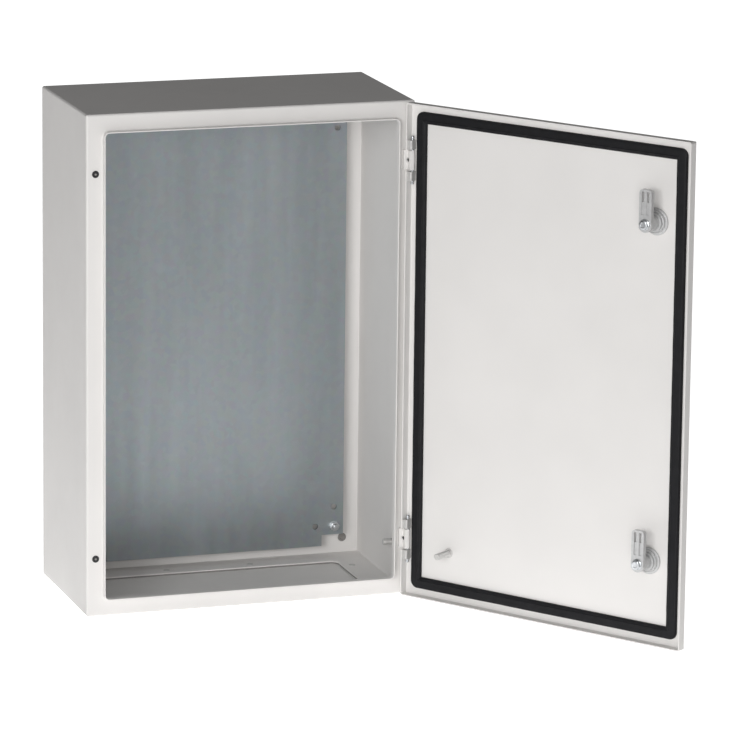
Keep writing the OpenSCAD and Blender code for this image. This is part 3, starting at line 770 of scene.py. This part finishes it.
class ENCLOSURE_OT_mounting_plate(bpy.types.Operator):
    """Gives the mounting plate its galvanised finish and adds its studs, washers and nuts"""

    bl_idname = "enclosure.mounting_plate"
    bl_label = "Mounting plate"

    def execute(self, context):
        dress("mounting_plate", "zinc_plate")
        # CAD node, name and shape of its piece, turn of the first one and of each next one
        kinds = (("plate_studs", "plate_stud", self.stud, 0.0, 0.0),
                 ("plate_washers", "toothed_plate_washer", self.washer, 0.0, 0.0),
                 ("plate_nuts", "plate_nut", self.nut, 0.4, 0.7))
        for node, name, make, first, further in kinds:
            for number, (low, high) in enumerate(islands(node)):
                middle = (low + high) / 2
                turn = Matrix.Rotation(first + further * number, 4, "Z")
                place = at(middle.x, high.y, middle.z, OUT) @ turn
                rings, closed = make(high - low)
                piece(f"{name}_{number + 1}", loft(bmesh.new(), rings, place, closed),
                      "zinc_hardware", "enclosure", node)
        return {"FINISHED"}

    def stud(self, size):
        """Rings of a stud with a wide shoulder behind the plate and a thread in front of it."""
        shoulder, r = size.x / 2, size.x / 4
        plate_back = corners("rear_panel")[0].y - corners("mounting_plate")[1].y
        profile = rounded([(shoulder * 0.9, 0.0), (shoulder, 0.0005), (shoulder, plate_back)],
                          0.0003)
        rings = [ring(a, z, THREAD_SIDES) for a, z in profile]
        rings += thread(r, 0.001, plate_back + 0.00001, size.y - 0.0003)
        return rings + [ring(r * 0.72, size.y, THREAD_SIDES)], False

    def washer(self, size):
        """Rings of a lock washer with bent teeth round its rim."""
        outer, inner, t = size.x / 2, size.x / 4 + 0.0002, size.y
        teeth, cut = 12, 0.0011

        def tooth(shift):
            return lambda a: outer - cut * (0.5 - 0.5 * math.cos(teeth * (a + shift))) ** 2

        return [ring(inner, 0.0), ring(inner + 0.0006, 0.0), ring(tooth(0.0), 0.0002),
                ring(tooth(0.12), t - 0.0004), ring(inner + 0.0012, t), ring(inner, t)], True

    def nut(self, size):
        """Rings of a chamfered hexagon nut with a countersunk bore."""
        flats, bore, mouth, sink = 0.010, 0.0031, 0.0035, 0.0005
        return [ring(bore, sink), ring(mouth, 0.0), *hex_rings(flats, 0.0, size.y),
                ring(mouth, size.y), ring(bore, size.y - sink)], True


class ENCLOSURE_OT_gland(bpy.types.Operator):
    """Finishes the gland plate's gasket and adds its pressed nuts and screws"""

    bl_idname = "enclosure.gland"
    bl_label = "Gland plate"

    def execute(self, context):
        dress("gland_gasket", "grey_plastic")
        for number, (low, high) in enumerate(islands("gland_nuts")):
            middle = (low + high) / 2
            self.pressed_nut(number, at(middle.x, middle.y, high.z), high - low)
        for number, (low, high) in enumerate(islands("gland_screws")):
            middle = (low + high) / 2
            place = at(middle.x, middle.y, low.z) @ Matrix.Rotation(0.5 * number, 4, "Z")
            self.screw(number, place, high.z - low.z)
        return {"FINISHED"}

    def pressed_nut(self, number, place, size):
        """Closed nut pressed into the floor: a low domed head above and a shank below."""
        r, shank, head = size.x / 2, size.x / 2 - 0.001, 0.0008
        bore, end = 0.002, -size.z
        profile = [(AXIS, 0.0), (r * 0.55, -0.00005), (r - 0.0008, -0.0002), (r, -0.0006),
                   (r, -head), (shank + 0.00005, -head), (shank, -head - 0.0006),
                   (shank, end + 0.0005), (shank - 0.0005, end), (bore + 0.0003, end),
                   (bore, end + 0.0003), (bore, -head), (AXIS, -head)]
        piece(f"pressed_gland_nut_{number + 1}", lathe(bmesh.new(), profile, place, sides=32),
              "satin_zinc", "enclosure", "gland_nuts")

    def screw(self, number, place, length):
        """Hexagon screw from below: chamfered head, washer face and shank."""
        head, flats, r = 0.0024, 0.007, 0.0019
        rings = hex_rings(flats, 0.0, head - 0.0002)
        rings += [ring(flats * 0.46, head), ring(r, head), ring(r, length - 0.0005),
                  ring(r * 0.7, length)]
        piece(f"hexagon_gland_screw_{number + 1}", loft(bmesh.new(), rings, place),
              "zinc_hardware", "enclosure", "gland_screws")


class ENCLOSURE_OT_earthing(bpy.types.Operator):
    """Adds the earth studs of the body and the door"""

    bl_idname = "enclosure.earthing"
    bl_label = "Earth studs"
    foot = 1.44   # radius of a weld stud's foot, as a share of its thread's

    def execute(self, context):
        low, high = corners("body_earth_stud")
        middle = (low + high) / 2
        r = (high.z - low.z) / 2 / self.foot
        place = at(high.x, middle.y, middle.z, LEFT)
        self.stud("body_earth_stud", place, r, high.x - low.x, "enclosure")
        low, high = corners("door_earth_stud", CLOSED)
        middle = (low + high) / 2
        place = OPENED @ at(middle.x, low.y, middle.z, IN)
        self.stud("door_earth_stud", place, r, high.y - low.y, "door")
        return {"FINISHED"}

    def stud(self, node, place, r, length, body):
        """Weld stud with a thin foot, a thread and a chamfered tip."""
        foot_r, foot_t, pitch = r * self.foot, 0.001, 0.00125
        rings = [ring(a, z, THREAD_SIDES) for a, z in (
            (foot_r, 0.0), (foot_r, foot_t * 0.6), (foot_r - 0.0004, foot_t), (r, foot_t))]
        rings += thread(r, pitch, foot_t + 0.0012, length - r * 0.2)
        rings.append(ring(r * 0.75, length, THREAD_SIDES))
        piece(f"{node}_thread", loft(bmesh.new(), rings, place), "satin_zinc", body, node)


# ---------------- hinges


class ENCLOSURE_OT_hinges(bpy.types.Operator):
    """Finishes the hinge blocks, ears, pins and screws"""

    bl_idname = "enclosure.hinges"
    bl_label = "Hinges"

    def execute(self, context):
        for side in ("upper", "lower"):
            dress(f"hinge_block_{side}", "block_paint")
            dress(f"hinge_ears_{side}", "zinc_ears")
            # the black cup in each block's cross hole is painted shade
            self.painted_shade_cup(side)
            self.pin(side)
        for node in ("hinge_screws", "hinge_washers", "ear_screws"):
            dress(node, "zinc_hardware")
        return {"FINISHED"}

    def painted_shade_cup(self, side):
        """Black cup that lines the cross hole in the block's left face: painted shade that keeps
        the hole dark.
        """
        low, high = corners(f"hinge_block_{side}")
        r, depth, wall = 0.00256, 0.0019, 0.0002
        left, hole_y = PIN.x - 0.0042, PIN.y + 0.0032
        place = at(left + depth, hole_y, (low.z + high.z) / 2, LEFT)
        profile = [(AXIS, 0.0), (r, 0.0), (r, depth - wall / 2), (r - wall, depth - wall / 4),
                   (r - wall, 0.0006), (r * 0.5, 0.0004), (AXIS, 0.0003)]
        # black plastic here is painted shade, not a part of the hinge
        piece(f"hinge_hole_shade_cup_{side}", lathe(bmesh.new(), profile, place, sides=32),
              "black_plastic", "enclosure")

    def pin(self, side):
        """Loose pin with a groove near each end."""
        node = f"hinge_pin_{side}"
        low, high = corners(node, CLOSED)
        r, length = (high.x - low.x) / 2, high.z - low.z
        groove, deep = 0.0025, r - 0.0004
        half = [(r - 0.0007, 0.0), (r - 0.0001, 0.0007), (r, 0.0012), (r, groove),
                (deep, groove + 0.0002), (deep, groove + 0.0008), (r, groove + 0.001)]
        profile = half + [(a, length - z) for a, z in reversed(half)]
        place = OPENED @ at(PIN.x, PIN.y, low.z)
        piece(f"grooved_{node}", lathe(bmesh.new(), profile, place), "pin_steel", "door", node)


# ---------------- door


class ENCLOSURE_OT_door(bpy.types.Operator):
    """Paints the door"""

    bl_idname = "enclosure.door"
    bl_label = "Door"

    def execute(self, context):
        dress("door_panel", "door_paint")
        return {"FINISHED"}


class ENCLOSURE_OT_gasket(bpy.types.Operator):
    """Pours the foam gasket on the door"""

    bl_idname = "enclosure.gasket"
    bl_label = "Gasket"
    # Section of the bead as shares of its width and height, from its outer foot to its inner
    # one. The sides are steep, and the flat top carries a thin ridge nearer to the inner edge.
    section = ((0.0, 0.0), (0.0, 0.42), (0.02, 0.64), (0.07, 0.80), (0.14, 0.885), (0.25, 0.91),
               (0.42, 0.895), (0.60, 0.88), (0.67, 0.885), (0.70, 0.96), (0.725, 1.0),
               (0.75, 0.96), (0.78, 0.87), (0.86, 0.83), (0.93, 0.74), (0.98, 0.58),
               (1.0, 0.40), (1.0, 0.0))

    def execute(self, context):
        s = context.scene.enclosure
        low, high = corners("door_gasket", CLOSED)
        middle, half = (low + high) / 2, (high - low) / 2
        height = high.y - low.y
        width, inner_r = self.bead(low, high)
        # One line runs round the door for each point of the section, nested in the one before
        lines = [self.line(half.x - width * u, half.z - width * u,
                           max(s.foam_corner - width * u, inner_r), s.foam_steps)
                 for u, v in self.section]
        rings = []
        for points in zip(*lines):
            px, pz = points[0][:2]
            wave = s.foam_unevenness * noise.noise(Vector((px, pz, 3.1)) * 60)
            crest = 1 - 0.03 * (0.5 + 0.5 * noise.noise(Vector((px, pz, 8.7)) * 28))
            row = []
            for (x, z, nx, nz), (u, v) in zip(points, self.section):
                shift = min(max(width * u + wave * (v > 0), 0.0), width) - width * u
                row.append(Vector((middle.x + x - nx * shift, low.y + height * v * crest,
                                   middle.z + z - nz * shift)))
            rings.append(row)
        piece("poured_foam_gasket", loft(bmesh.new(), rings, OPENED, closed=True),
              "foam_gasket", "door", "door_gasket")
        return {"FINISHED"}

    def bead(self, low, high):
        """Width of the bead and the radius of its inner corners, from its foot on the door."""
        near = 1e-5
        foot = [CLOSED @ v.co for v in frame["nodes"]["door_gasket"].data.vertices]
        foot = [p for p in foot if p.y < low.y + near]
        run = max(p.z for p in foot if p.x < low.x + near)
        inner = max(p.x for p in foot if abs(p.z) < run + near and p.x < (low.x + high.x) / 2)
        width = inner - low.x
        return width, high.z - run - width

    def line(self, half_w, half_h, r, steps):
        """Points and outward directions round a rectangle with rounded corners."""
        corner_steps = 12
        quarters = ((1, 1, 0), (-1, 1, 90), (-1, -1, 180), (1, -1, 270))
        result = []
        for (sx, sz, start), (next_x, next_z, _) in zip(quarters, quarters[1:] + quarters[:1]):
            for k in range(corner_steps + 1):
                a = math.radians(start + 90 * k / corner_steps)
                nx, nz = math.cos(a), math.sin(a)
                result.append((sx * (half_w - r) + r * nx, sz * (half_h - r) + r * nz, nx, nz))
            last = Vector(result[-1][:2])
            end = Vector((next_x * (half_w - r) + r * nx, next_z * (half_h - r) + r * nz))
            for k in range(1, steps):
                p = last.lerp(end, k / steps)
                result.append((p.x, p.y, nx, nz))
        return result


# ---------------- locks


class ENCLOSURE_OT_locks(bpy.types.Operator):
    """Makes both locks: housing, seal, nut, spindle, cam and its screw"""

    bl_idname = "enclosure.locks"
    bl_label = "Locks"
    arm_t = 0.0054   # thickness of the cam's arm

    def execute(self, context):
        edge = context.scene.enclosure.edge
        for side in ("upper", "lower"):
            low, high = corners(f"lock_housing_{side}", CLOSED)
            axis = (low + high) / 2
            # Local Z runs into the enclosure, local Y up; z is measured from the housing's face
            place = OPENED @ at(axis.x, low.y, axis.z, IN)
            self.housing(side, place, high - low, corners("door_panel", CLOSED)[0].y - low.y)
            self.lock_nut(side, place, low.y)
            self.spindle(side, place, low.y)
            self.cam(side, place, low.y, edge)
            self.cam_screw(side, place, low.y)
        dress("lock_seals", "foam_gasket")
        return {"FINISHED"}

    def housing(self, side, place, size, skin):
        """Turned body with a flange in front of the door's skin and a well for the key."""
        depth, flange_r, flange_t = size.y, size.x / 2, skin - 0.0008
        barrel, bore, well, well_end = 0.011, 0.00605, 0.009, 0.007
        profile = [(bore, depth - 0.0004), (bore + 0.0004, depth)]
        profile += rounded([(barrel - 0.001, depth), (barrel, depth - 0.0008), (barrel, flange_t),
                            (flange_r - 0.0003, flange_t), (flange_r, flange_t - 0.0004),
                            (flange_r, 0.0016), (flange_r - 0.0016, 0.0), (well + 0.0012, 0.0),
                            (well, 0.001), (well, well_end)], 0.0006)
        profile += [(bore, well_end)]
        bm = lathe(bmesh.new(), profile, place, closed=True, sides=64)
        piece(f"turned_lock_housing_{side}", bm, "lock_cast", "door", f"lock_housing_{side}")

    def lock_nut(self, side, place, front):
        """Round nut with a step and six half-round notches in it."""
        pick = max if side == "upper" else min
        low, high = pick(islands("lock_nuts", CLOSED), key=lambda box: box[0].z)
        z0, z1 = low.y - front, high.y - front
        outer, inner = (high.x - low.x) / 2, 0.0111
        base, step = z0 + (z1 - z0) * 0.45, outer - 0.0025
        notches, notch_r = 6, 0.0012
        profile = [(inner, z1 - 0.0006), (inner, z0)]
        profile += rounded([(outer - 0.0006, z0), (outer, z0 + 0.0005), (outer, base - 0.0008),
                            (outer - 0.0008, base), (step, base + 0.0001), (step, z1 - 0.0009),
                            (step - 0.0009, z1), (inner + 0.0022, z1),
                            (inner + 0.0018, z1 - 0.0008), (inner + 0.0006, z1 - 0.0008)], 0.0003)
        bm = lathe(bmesh.new(), profile, place, closed=True, sides=72)
        cutters = bmesh.new()
        for k in range(notches):
            turn = Matrix.Rotation(TURN * (k + 0.5) / notches, 4, "Z")
            where = place @ turn @ at(step, 0, base + 0.001)
            lathe(cutters, [(notch_r, 0.0), (notch_r, z1 - base)], where, sides=16)
        piece(f"stepped_lock_nut_{side}", carve(bm, cutters), "lock_cast", "door", "lock_nuts")

    def spindle(self, side, place, front):
        """Key stub with two bits, a collar, a round shank and a square for the cam."""
        node = f"spindle_{side}"
        low, high = corners(node, CLOSED)
        z0, z1 = low.y - front, high.y - front
        square_z = corners(f"cam_{side}", CLOSED)[1].y - front - self.arm_t
        r, collar, key_r, key_top = 0.006, 0.0085, 0.0025, z0 + 0.0039
        square, bit, bit_t = 0.00372, 0.006, 0.0014
        profile = rounded([(key_r - 0.0004, z0), (key_r, z0 + 0.0004), (key_r, key_top),
                           (collar - 0.0002, key_top), (collar, key_top + 0.0003),
                           (collar, key_top + 0.0015), (r, key_top + 0.0016), (r, square_z)],
                          0.0002)
        bm = lathe(bmesh.new(), profile, place)
        block(bm, (-square, -square, square_z), (square, square, z1), place)
        block(bm, (-bit, -bit_t, z0 + 0.0002), (bit, bit_t, key_top), place)
        piece(f"double_bit_{node}", bm, "lock_cast", f"lock_{side}", node)

    def cam(self, side, place, front, edge):
        """Arm with two shallow grooves that run out into slots near its tip, on a round hub."""
        node = f"cam_{side}"
        low, high = corners(node, CLOSED)
        axis_z = place.to_translation().z
        tail, top, half, tip = axis_z - low.z, high.z - axis_z, 0.0084, 0.0042
        hub_z, z1 = low.y - front, high.y - front
        z0 = z1 - self.arm_t
        start = math.degrees(math.acos(half / tail))
        outline = arc(0, 0, tail, 180 + start, 360 - start, 20)
        outline += arc(half - tip, top - tip, tip, 0, 90)
        outline += arc(-half + tip, top - tip, tip, 90, 180)
        bm = prism(bmesh.new(), outline, z0, z1, place)
        hub_r, bore = 0.0085, 0.0061
        hub = [(hub_r - 0.0007, hub_z), (hub_r, hub_z + 0.0007), (hub_r, z0 + 0.0004)]
        lathe(bm, rounded(hub, 0.0003), place)
        spacing, groove, groove_depth, slot, past = 0.0035, 0.0016, 0.0013, 0.0122, 0.001
        cutters, end = bmesh.new(), top - 0.0026
        cuts = ((tail + groove, z1 - groove_depth, z1 + past), (end - slot, z0 - past, z1 - 0.001))
        for x in (-spacing, spacing):
            for begin, under, over in cuts:
                block(cutters, (x - groove, begin, under), (x + groove, end, over), place)
        lathe(cutters, [(bore, hub_z - past), (bore, z0 - 0.0001)], place)
        piece(f"ribbed_{node}", carve(bm, cutters), "lock_cast", f"lock_{side}", node, edge)

    def cam_screw(self, side, place, front):
        """Hexagon screw with a dished head and a washer face that holds the cam."""
        node = f"cam_screw_{side}"
        z1 = corners(node, CLOSED)[1].y - front
        face, flange_r, r, flats = z1 - 0.0036, 0.0066, 0.0028, 0.010
        under = face - 0.0012
        rings = [ring(r, under - 0.003), ring(r, under), ring(flange_r - 0.0003, under),
                 ring(flange_r, face - 0.0009), ring(flange_r - 0.0004, face - 0.0002),
                 ring(0.0058, face), *hex_rings(flats, face, z1)[1:],
                 ring(0.0032, z1), ring(0.0026, z1 - 0.0005)]
        turn = place @ Matrix.Rotation(math.radians(20), 4, "Z")
        piece(f"flanged_{node}", loft(bmesh.new(), rings, turn), "zinc_hardware",
              f"lock_{side}", node)


# ---------------- add-on


OPERATORS = (
    ENCLOSURE_OT_stage, ENCLOSURE_OT_body, ENCLOSURE_OT_plugs, ENCLOSURE_OT_mounting_plate,
    ENCLOSURE_OT_gland, ENCLOSURE_OT_earthing, ENCLOSURE_OT_hinges, ENCLOSURE_OT_door,
    ENCLOSURE_OT_gasket, ENCLOSURE_OT_locks)


class ENCLOSURE_PT_panel(bpy.types.Panel):
    """Lists the settings and the pieces of the enclosure"""

    bl_label = "Enclosure"
    bl_idname = "ENCLOSURE_PT_panel"
    bl_space_type = "VIEW_3D"
    bl_region_type = "UI"
    bl_category = "Enclosure"

    def draw(self, context):
        for settings in (context.scene.enclosure, context.scene.enclosure_studio):
            box = self.layout.box()
            for name in settings.__annotations__:
                box.prop(settings, name)
        for operator in OPERATORS:
            self.layout.operator(operator.bl_idname)


CLASSES = (EnclosureSettings, StudioSettings, *OPERATORS, ENCLOSURE_PT_panel)


def register():
    """Registers the classes and the settings."""
    for cls in CLASSES:
        bpy.utils.register_class(cls)
    bpy.types.Scene.enclosure = PointerProperty(type=EnclosureSettings)
    bpy.types.Scene.enclosure_studio = PointerProperty(type=StudioSettings)


def unregister():
    """Takes the settings and the classes out again."""
    del bpy.types.Scene.enclosure_studio
    del bpy.types.Scene.enclosure
    for cls in reversed(CLASSES):
        bpy.utils.unregister_class(cls)


def main():
    """Runs every step."""
    register()
    for operator in OPERATORS:
        group, name = operator.bl_idname.split(".")
        getattr(getattr(bpy.ops, group), name)()


if __name__ == "__main__":
    main()
